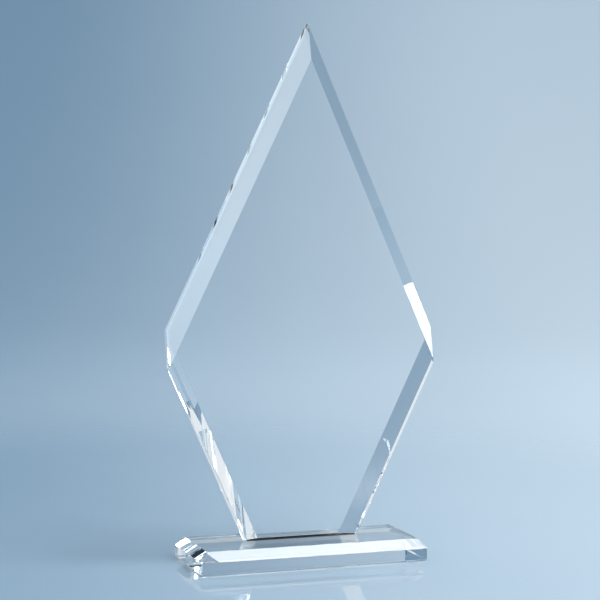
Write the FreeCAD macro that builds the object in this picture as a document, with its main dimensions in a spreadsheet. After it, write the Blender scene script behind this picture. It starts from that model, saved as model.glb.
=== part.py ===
import FreeCAD, Part
import os
import Sketcher

# Crystal award: a kite-shaped crystal plate bonded upright on a bevelled crystal block.
# Millimetres. +Z is up, +X runs along the base, -Y is the front.
# The origin is the centre of the underside of the base.

V = FreeCAD.Vector
CLOSE = 1e-4
# Spacing of a new sketch's corners, before its constraints move them into place.
DRAFT_X = 5.0
DRAFT_Y = 20.0

# Each row is: alias, value, meaning.
SIZES = (
    ("base_width", "135", "base, left to right"),
    ("base_depth", "49", "base, front to back"),
    ("base_height", "12", "base, underside to top face"),
    ("base_bevel_run", "4.4", "base top bevel, measured across the top face"),
    ("base_bevel_drop", "5.2", "base top bevel, measured down the side faces"),
    ("base_arris", "0.5", "polished arris on the upright and lower edges of the base"),
    ("bond_thickness", "0.15", "clear resin between base and plate"),
    ("bond_margin", "0.3", "how far the resin stays inside the foot of the plate"),
    ("plate_height", "289.5", "plate, foot to tip"),
    ("plate_width", "160", "plate, across the two side flats"),
    ("plate_thickness", "10", "plate, front face to back face"),
    ("plate_setback", "4.5", "middle of the plate behind the middle of the base"),
    ("foot_width", "68", "plate, width where it stands on the base"),
    ("flat_rise", "98.5", "foot to the lower end of a side flat"),
    ("flat_length", "20.4", "length of a side flat"),
    ("bevel_end_gap", "0.4", "how far short of the far end of a side flat a bevel runs out"),
    ("bevel_drop", "5.2", "front and back bevels of the plate, down the edge"),
    ("front_arris", "0.8", "polished arris round the front edge of the plate"),
    ("back_arris", "0.5", "polished arris round the back edge of the plate"),
)

# The same three entries, each worked out from the rows above it.
DERIVED = (
    ("half_width", "=plate_width / 2", "middle of the plate to a side flat"),
    ("upper_rise", "=plate_height - flat_rise - flat_length", "rise of an upper edge"),
    ("upper_sine", "=half_width / sqrt(half_width ^ 2 + upper_rise ^ 2)", "lean of an upper edge"),
    ("lower_run", "=half_width - foot_width / 2", "run of a lower edge"),
    ("lower_spread", "=sqrt(1 + (lower_run / flat_rise) ^ 2)", "width at the foot per width across an edge"),
    ("lower_sine", "=lower_run / flat_rise / lower_spread", "lean of a lower edge"),
    ("bevel_reach", "=flat_length - bevel_end_gap", "how far a bevel runs along a side flat"),
    ("front_bevel_run", "=bevel_reach * upper_sine", "front bevel of the upper edges, across the face"),
    ("back_bevel_run", "=bevel_reach * lower_sine", "back bevel of the lower edges, across the face"),
)


def make_sizes(doc):
    """The spreadsheet that drives every piece."""
    sheet = doc.addObject("Spreadsheet::Sheet", "dims")
    for row, (alias, value, meaning) in enumerate(SIZES + DERIVED, start=1):
        sheet.set("A%d" % row, meaning)
        sheet.set("B%d" % row, value)
        sheet.setAlias("B%d" % row, alias)
    doc.recompute()
    return sheet


def origin_plane(body, role):
    """One of the body's own origin planes, found by its role."""
    for feature in body.Origin.OriginFeatures:
        if feature.Role == role:
            return feature
    raise ValueError("no origin plane " + role)


def mirrored_outline(body, role, half, name):
    """A closed sketch, symmetric about its upright axis.

    `half` lists the corners of the right half in order, each a pair of spreadsheet
    expressions. A corner whose first entry is None lies on the axis.
    """
    sketch = body.newObject("Sketcher::SketchObject", name)
    sketch.AttachmentSupport = (origin_plane(body, role), [""])
    sketch.MapMode = "FlatFace"
    right = [(DRAFT_X * (i + 2) if x else 0.0, DRAFT_Y * i) for i, (x, y) in enumerate(half)]
    left = [(-x, y) for x, y in reversed(right) if x > 0.0]
    corners = right + left
    count = len(corners)
    for i, (x, y) in enumerate(corners):
        nx, ny = corners[(i + 1) % count]
        sketch.addGeometry(Part.LineSegment(V(x, y, 0), V(nx, ny, 0)), False)
    for i in range(count):
        sketch.addConstraint(Sketcher.Constraint("Coincident", i, 2, (i + 1) % count, 1))
    mirror = count - 1
    for i, (x, y) in enumerate(half):
        if x is None:
            sketch.addConstraint(Sketcher.Constraint("PointOnObject", i, 1, -2))
        else:
            sketch.addConstraint(Sketcher.Constraint("Symmetric", i, 1, mirror, 1, -2))
            mirror -= 1
            index = sketch.addConstraint(Sketcher.Constraint("DistanceX", i, 1, corners[i][0]))
            sketch.setExpression("Constraints[%d]" % index, x)
        index = sketch.addConstraint(Sketcher.Constraint("DistanceY", i, 1, corners[i][1]))
        sketch.setExpression("Constraints[%d]" % index, y)
    return sketch


def pad(body, sketch, length, name, reverse=False):
    feature = body.newObject("PartDesign::Pad", name)
    feature.Profile = sketch
    feature.Reversed = reverse
    feature.setExpression("Length", length)
    sketch.Visibility = False
    body.Document.recompute()
    return feature


def edges_where(feature, test):
    """Names of the edges whose two end points both pass the test."""
    names = []
    for number, edge in enumerate(feature.Shape.Edges, start=1):
        ends = [vertex.Point for vertex in edge.Vertexes]
        if test(*ends):
            names.append("Edge%d" % number)
    return names


def rim_edges(feature, facing):
    """Edges between the upright walls of a plate and its front (-1) or back (1) faces."""
    names = []
    for number, edge in enumerate(feature.Shape.Edges, start=1):
        faces = feature.Shape.ancestorsOfType(edge, Part.Face)
        normals = [face.normalAt(0, 0) for face in faces]
        on_wall = any(near(n.y, 0) and not near(n.z, -1) for n in normals)
        on_face = any(n.y * facing > CLOSE for n in normals)
        if on_wall and on_face:
            names.append("Edge%d" % number)
    return names


def bevel(body, base, edges, first, name, second=None):
    """Grind the named edges, with equal sides unless a second one is given."""
    before = base.Shape.Volume
    feature = body.newObject("PartDesign::Chamfer", name)
    feature.Base = (base, edges)
    feature.setExpression("Size", first)
    if second is not None:
        feature.ChamferType = "Two distances"
        feature.setExpression("Size2", second)
    body.Document.recompute()
    if feature.Shape.isNull() or feature.Shape.Volume >= before:
        raise ValueError(name + " removed nothing")
    return feature


def near(a, b):
    return abs(a - b) < CLOSE


def make_base(doc):
    """Rectangular block: one wide bevel round the top, then small arrises."""
    body = doc.addObject("PartDesign::Body", "crystal_base")
    body.Label = "crystal_base"
    half = (
        ("dims.base_width / 2", "-dims.base_depth / 2"),
        ("dims.base_width / 2", "dims.base_depth / 2"),
    )
    outline = mirrored_outline(body, "XY_Plane", half, "base_outline")
    block = pad(body, outline, "dims.base_height", "base_block")
    top = block.Shape.BoundBox.ZMax
    top_edges = edges_where(block, lambda a, b: near(a.z, top) and near(b.z, top))
    topped = bevel(body, block, top_edges, "dims.base_bevel_drop", "base_top_bevel", "dims.base_bevel_run")
    corners = edges_where(topped, lambda a, b: near(a.x, b.x) and near(a.y, b.y))
    mitred = bevel(body, topped, corners, "dims.base_arris", "base_corner_arris")
    under = edges_where(mitred, lambda a, b: near(a.z, 0) and near(b.z, 0))
    bevel(body, mitred, under, "dims.base_arris", "base_under_arris")
    return body


def make_plate(doc):
    """Kite plate with side flats: front bevels on the upper edges, back bevels on the lower."""
    body = doc.addObject("PartDesign::Body", "crystal_plate")
    body.Label = "crystal_plate"
    half = (
        ("dims.foot_width / 2", "0 mm"),
        ("dims.half_width", "dims.flat_rise"),
        ("dims.half_width", "dims.flat_rise + dims.flat_length"),
        (None, "dims.plate_height"),
    )
    outline = mirrored_outline(body, "XZ_Plane", half, "plate_outline")
    slab = pad(body, outline, "dims.plate_thickness", "plate_slab", reverse=True)
    tip = slab.Shape.BoundBox.ZMax
    back = slab.Shape.BoundBox.YMax

    def at_tip(a, b):
        return near(a.z, tip) or near(b.z, tip)

    def on_floor(a, b):
        return near(a.z, 0) or near(b.z, 0)

    upper_front = edges_where(slab, lambda a, b: near(a.y + b.y, 0) and at_tip(a, b))
    fronted = bevel(
        body, slab, upper_front, "dims.bevel_drop", "front_bevel", "dims.front_bevel_run"
    )
    lower_back = edges_where(
        fronted,
        lambda a, b: near(a.y, back) and near(b.y, back) and on_floor(a, b) and not near(a.z, b.z),
    )
    backed = bevel(
        body, fronted, lower_back, "dims.back_bevel_run", "back_bevel", "dims.bevel_drop"
    )
    rimmed = bevel(body, backed, rim_edges(backed, -1), "dims.front_arris", "front_arris")
    side = rimmed.Shape.BoundBox.XMax
    on_flat = edges_where(rimmed, lambda a, b: near(abs(a.x), side) and near(abs(b.x), side))
    back_rim = [name for name in rim_edges(rimmed, 1) if name not in on_flat]
    bevel(body, rimmed, back_rim, "dims.back_arris", "back_arris")
    body.setExpression(".Placement.Base.y", "dims.plate_setback - dims.plate_thickness / 2")
    body.setExpression(".Placement.Base.z", "dims.base_height + dims.bond_thickness")
    return body


def make_film(doc):
    """Cured resin under the foot of the plate, with the foot's outline less a margin."""
    body = doc.addObject("PartDesign::Body", "adhesive_film")
    body.Label = "adhesive_film"
    side = "dims.foot_width / 2 - dims.bond_margin"
    front = "-dims.plate_thickness / 2 + dims.bond_margin"
    back = "dims.plate_thickness / 2 - dims.bond_margin"
    half = (
        ("%s - dims.front_arris * dims.lower_spread" % side, front),
        (side, "%s + dims.front_arris" % front),
        (side, "%s - dims.bevel_drop" % back),
        ("%s - dims.back_bevel_run * dims.lower_spread" % side, back),
    )
    outline = mirrored_outline(body, "XY_Plane", half, "film_outline")
    pad(body, outline, "dims.bond_thickness", "film_layer")
    body.setExpression(".Placement.Base.y", "dims.plate_setback")
    body.setExpression(".Placement.Base.z", "dims.base_height")
    return body


def check(doc):
    """Stop on any feature that failed or came out empty."""
    for thing in doc.Objects:
        if "Invalid" in thing.State or "Error" in thing.State:
            raise ValueError(thing.Name + " is in error")
        shape = getattr(thing, "Shape", None)
        if thing.isDerivedFrom("PartDesign::Feature") or thing.isDerivedFrom("PartDesign::Body"):
            if shape.isNull() or not shape.isValid():
                raise ValueError(thing.Name + " has a bad shape")


def main():
    doc = FreeCAD.newDocument("crystal_award")
    make_sizes(doc)
    bodies = (make_base(doc), make_film(doc), make_plate(doc))
    doc.recompute()
    check(doc)
    os.makedirs("parts", exist_ok=True)
    for body in bodies:
        body.Shape.exportStep("parts/%s.step" % body.Label)
        box = body.Shape.BoundBox
        print(body.Label, round(body.Shape.Volume, 2), len(body.Shape.Solids), box)


main()
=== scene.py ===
import math

import bpy
from mathutils import Matrix, Vector

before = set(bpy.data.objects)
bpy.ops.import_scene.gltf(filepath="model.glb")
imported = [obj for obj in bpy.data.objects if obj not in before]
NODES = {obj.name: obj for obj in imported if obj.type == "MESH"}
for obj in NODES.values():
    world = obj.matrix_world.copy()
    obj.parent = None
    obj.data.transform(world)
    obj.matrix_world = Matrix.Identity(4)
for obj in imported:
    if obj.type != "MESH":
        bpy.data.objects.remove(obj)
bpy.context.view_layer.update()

# Camera, in metres and radians.
AIM = Vector((-0.0038, 0.0, 0.1476))
AZIMUTH = 0.370
ELEVATION = 0.0888
ROLL = 0.0192
DISTANCE = 1.0446
FOCAL_PER_WIDTH = 3.1038
SENSOR = 36.0

CRYSTAL_IOR = 1.55
BONDED_IOR = 1.002
MARGIN = 0.00002
HAZE = 0.01
WAVINESS = 0.04
ABSORPTION_DENSITY = 1.0
CLEAR = (1.0, 1.0, 1.0)
CRYSTAL_ABSORPTION = (0.80, 0.93, 1.0)

# The floor lies this far below the base, so that the two surfaces don't coincide.
FLOOR_GAP = 0.0003
FLOOR_RADIUS = 1.2
SWEEP = 1.4
WALL_TOP = 0.8
# Painted shade: the sweep's colour runs from this darker tone on the left to the pale tone on the
# right.
PAINTED_SHADE_TONE = (0.19, 0.31, 0.43, 1.0)
PALE_TONE = (0.54, 0.65, 0.74, 1.0)
GLOSSY_WITHIN = 0.3
SATIN_BEYOND = 0.9
GLOSSY_ROUGHNESS = 0.05
SATIN_ROUGHNESS = 0.8

# Light is reflected many times inside the bevels, and they go black with too few bounces.
BOUNCES = 48


def new_material(name):
    material = bpy.data.materials.new(name)
    material.use_nodes = True
    material.node_tree.nodes.clear()
    return material


def node(material, kind, **values):
    made = material.node_tree.nodes.new(kind)
    for key, value in values.items():
        if key in made.inputs:
            made.inputs[key].default_value = value
        else:
            setattr(made, key, value)
    return made


def math_node(material, operation, first, second=None):
    made = material.node_tree.nodes.new("ShaderNodeMath")
    made.operation = operation
    for socket, value in zip(made.inputs, (first, second)):
        if isinstance(value, bpy.types.NodeSocket):
            material.node_tree.links.new(value, socket)
        elif value is not None:
            socket.default_value = value
    return made.outputs[0]


def bond_outline():
    """The resin's half width, front, back, where its back corners start, their lean, low and high."""
    points = [v.co for v in NODES["adhesive_film"].data.vertices]
    half_x = max(abs(p.x) for p in points)
    back = max(p.y for p in points)
    front = min(p.y for p in points)
    side_back = max(p.y for p in points if abs(abs(p.x) - half_x) < MARGIN)
    back_x = max(abs(p.x) for p in points if abs(p.y - back) < MARGIN)
    low = min(p.z for p in points)
    high = max(p.z for p in points)
    slope = (half_x - back_x) / (back - side_back)
    return half_x, front, back, side_back, slope, low, high


def bonded_ior(material, coords):
    """IOR of crystal in air, and almost 1 where resin of the same index wets the face."""
    half_x, front, back, side_back, slope, low, high = bond_outline()
    split = node(material, "ShaderNodeSeparateXYZ")
    material.node_tree.links.new(coords, split.inputs[0])
    x, y, z = split.outputs
    past = math_node(material, "MAXIMUM", math_node(material, "SUBTRACT", y, side_back), 0.0)
    lean = math_node(material, "MULTIPLY", past, slope)
    reach = math_node(material, "ADD", math_node(material, "ABSOLUTE", x), lean)
    in_x = math_node(material, "LESS_THAN", reach, half_x + MARGIN)
    off_y = math_node(material, "ABSOLUTE", math_node(material, "SUBTRACT", y, (front + back) / 2))
    in_y = math_node(material, "LESS_THAN", off_y, (back - front) / 2 + MARGIN)
    off_z = math_node(material, "ABSOLUTE", math_node(material, "SUBTRACT", z, (low + high) / 2))
    in_z = math_node(material, "LESS_THAN", off_z, (high - low) / 2 + MARGIN)
    wet = math_node(material, "MULTIPLY", math_node(material, "MULTIPLY", in_x, in_y), in_z)
    drop = math_node(material, "MULTIPLY", wet, CRYSTAL_IOR - BONDED_IOR)
    return math_node(material, "SUBTRACT", CRYSTAL_IOR, drop)


def crystal(name, tint, absorption):
    """Polished clear crystal with the faint unevenness that hand polishing leaves."""
    m = new_material(name)
    link = m.node_tree.links.new
    out = node(m, "ShaderNodeOutputMaterial")
    glass = node(m, "ShaderNodeBsdfPrincipled", **{"Transmission Weight": 1.0, "IOR": CRYSTAL_IOR})
    coords = node(m, "ShaderNodeTexCoord").outputs["Object"]
    smear = node(m, "ShaderNodeTexNoise", Scale=90.0, Detail=3.0, Roughness=0.55)
    smear_range = node(
        m, "ShaderNodeMapRange", **{"From Min": 0.5, "From Max": 0.8, "To Min": 0.0, "To Max": HAZE}
    )
    tone = node(m, "ShaderNodeTexNoise", Scale=25.0, Detail=2.0)
    ramp = node(m, "ShaderNodeValToRGB")
    ramp.color_ramp.elements[0].position = 0.3
    ramp.color_ramp.elements[0].color = (*[c * 0.99 for c in tint], 1.0)
    ramp.color_ramp.elements[1].position = 0.7
    ramp.color_ramp.elements[1].color = (*tint, 1.0)
    wave = node(m, "ShaderNodeTexNoise", Scale=14.0, Detail=1.0, Roughness=0.4)
    bump = node(m, "ShaderNodeBump", Strength=WAVINESS, Distance=0.0004)
    volume = node(m, "ShaderNodeVolumeAbsorption", Density=ABSORPTION_DENSITY)
    volume.inputs["Color"].default_value = (*absorption, 1.0)
    for texture in (smear, tone, wave):
        link(coords, texture.inputs["Vector"])
    link(smear.outputs["Fac"], smear_range.inputs["Value"])
    link(smear_range.outputs["Result"], glass.inputs["Roughness"])
    link(tone.outputs["Fac"], ramp.inputs["Fac"])
    link(ramp.outputs["Color"], glass.inputs["Base Color"])
    link(wave.outputs["Fac"], bump.inputs["Height"])
    link(bump.outputs["Normal"], glass.inputs["Normal"])
    link(bonded_ior(m, coords), glass.inputs["IOR"])
    link(glass.outputs["BSDF"], out.inputs["Surface"])
    link(volume.outputs["Volume"], out.inputs["Volume"])
    return m


def dress(name, material):
    mesh = NODES[name].data
    mesh.materials.clear()
    mesh.materials.append(material)


dress("crystal_plate", crystal("plate_crystal", CLEAR, CRYSTAL_ABSORPTION))
dress("crystal_base", crystal("base_crystal", CLEAR, CRYSTAL_ABSORPTION))
dress("adhesive_film", crystal("clear_resin", (0.995, 1.0, 1.0), (0.85, 0.95, 1.0)))


def sweep_material():
    """A sweep that is glossy round the award, satin further out, and darker to the left with painted
    shade.
    """
    m = new_material("pale_sweep")
    link = m.node_tree.links.new
    out = node(m, "ShaderNodeOutputMaterial")
    shade = node(m, "ShaderNodeBsdfPrincipled")
    coords = node(m, "ShaderNodeTexCoord").outputs["Object"]
    split = node(m, "ShaderNodeSeparateXYZ")
    link(coords, split.inputs[0])
    x, y = split.outputs[:2]
    # Painted shade: the base colour darkens to the left and a little to the back, standing in for
    # light falling off across the sweep.
    along_x = math_node(m, "MULTIPLY", x, 0.77)
    along_y = math_node(m, "MULTIPLY", y, -0.27)
    across = math_node(m, "ADD", along_x, along_y)
    grain = node(m, "ShaderNodeTexNoise", Scale=6.0, Detail=3.0)
    link(coords, grain.inputs["Vector"])
    soft = math_node(m, "MULTIPLY", grain.outputs["Fac"], 0.03)
    place = math_node(m, "ADD", math_node(m, "ADD", across, 0.485), soft)
    ramp = node(m, "ShaderNodeValToRGB")
    ramp.color_ramp.interpolation = "EASE"
    ramp.color_ramp.elements[0].position = 0.1
    ramp.color_ramp.elements[0].color = PAINTED_SHADE_TONE
    ramp.color_ramp.elements[1].position = 0.9
    ramp.color_ramp.elements[1].color = PALE_TONE
    link(place, ramp.inputs["Fac"])
    polish = node(m, "ShaderNodeMapRange", **{
        "From Min": GLOSSY_WITHIN,
        "From Max": SATIN_BEYOND,
        "To Min": GLOSSY_ROUGHNESS,
        "To Max": SATIN_ROUGHNESS,
    })
    x_squared = math_node(m, "POWER", x, 2.0)
    y_squared = math_node(m, "POWER", y, 2.0)
    reach = math_node(m, "SQRT", math_node(m, "ADD", x_squared, y_squared))
    link(reach, polish.inputs["Value"])
    link(polish.outputs["Result"], shade.inputs["Roughness"])
    link(ramp.outputs["Color"], shade.inputs["Base Color"])
    link(shade.outputs["BSDF"], out.inputs["Surface"])
    return m


def make_stage():
    """A round floor that sweeps up into a wall, the same shape from every side."""
    profile = [(0.0, 0.0), (FLOOR_RADIUS, 0.0)]
    arc_steps = 16
    for i in range(1, arc_steps + 1):
        a = math.pi / 2 * i / arc_steps
        profile.append((FLOOR_RADIUS + SWEEP * math.sin(a), WALL_TOP * (1 - math.cos(a))))
    turns = 96
    vertices = [(0.0, 0.0, -FLOOR_GAP)]
    faces = []
    for r, z in profile[1:]:
        for k in range(turns):
            a = 2 * math.pi * k / turns
            vertices.append((r * math.cos(a), r * math.sin(a), z - FLOOR_GAP))
    for k in range(turns):
        faces.append((0, 1 + k, 1 + (k + 1) % turns))
    for ring in range(len(profile) - 2):
        low = 1 + ring * turns
        for k in range(turns):
            after = (k + 1) % turns
            faces.append((low + k, low + turns + k, low + turns + after, low + after))
    mesh = bpy.data.meshes.new("floor")
    mesh.from_pydata(vertices, [], faces)
    mesh.materials.append(sweep_material())
    for polygon in mesh.polygons:
        polygon.use_smooth = True
    mesh.update()
    floor = bpy.data.objects.new("floor", mesh)
    bpy.context.scene.collection.objects.link(floor)


make_stage()


def softbox(name, place, aim, width, height, power):
    data = bpy.data.lights.new(name, "AREA")
    data.shape = "RECTANGLE"
    data.size = width
    data.size_y = height
    data.energy = power
    lamp = bpy.data.objects.new(name, data)
    bpy.context.scene.collection.objects.link(lamp)
    lamp.location = Vector(place)
    lamp.rotation_euler = (Vector(aim) - lamp.location).to_track_quat("-Z", "Y").to_euler()
    lamp.visible_camera = False
    return lamp


def keep_off_floor(lamp):
    """Let a lamp reach only the award, so that it neither lights the floor nor shows in it."""
    receivers = bpy.data.collections.new(lamp.name + "_receivers")
    for piece in NODES.values():
        receivers.objects.link(piece)
    lamp.light_linking.receiver_collection = receivers


softbox("key", (0.55, -1.3, 1.25), (0, 0, 0.1), 0.8, 0.7, 5.6)
softbox("top", (0.64, -0.43, 1.6), (0, 0, 0), 0.6, 0.6, 12.4)
keep_off_floor(softbox("right_side", (0.85, -0.09, 0.16), (0.05, 0.0, 0.16), 0.5, 0.29, 5))


def make_world():
    world = bpy.data.worlds.new("studio")
    world.use_nodes = True
    bpy.context.scene.world = world
    background = world.node_tree.nodes["Background"]
    background.inputs["Color"].default_value = (0.93, 0.97, 1.0, 1.0)
    background.inputs["Strength"].default_value = 0.9


make_world()


def make_camera():
    level = math.cos(ELEVATION)
    back = Vector((-math.sin(AZIMUTH) * level, -math.cos(AZIMUTH) * level, math.sin(ELEVATION)))
    data = bpy.data.cameras.new("camera")
    data.sensor_width = SENSOR
    data.lens = SENSOR * FOCAL_PER_WIDTH
    camera = bpy.data.objects.new("camera", data)
    bpy.context.scene.collection.objects.link(camera)
    turn = (-back).to_track_quat("-Z", "Y").to_matrix() @ Matrix.Rotation(ROLL, 3, "Z")
    camera.matrix_world = Matrix.Translation(AIM + back * DISTANCE) @ turn.to_4x4()
    bpy.context.scene.camera = camera


make_camera()

scene = bpy.context.scene
scene.cycles.max_bounces = BOUNCES
scene.cycles.transmission_bounces = BOUNCES
scene.cycles.glossy_bounces = BOUNCES
scene.view_settings.view_transform = "Standard"
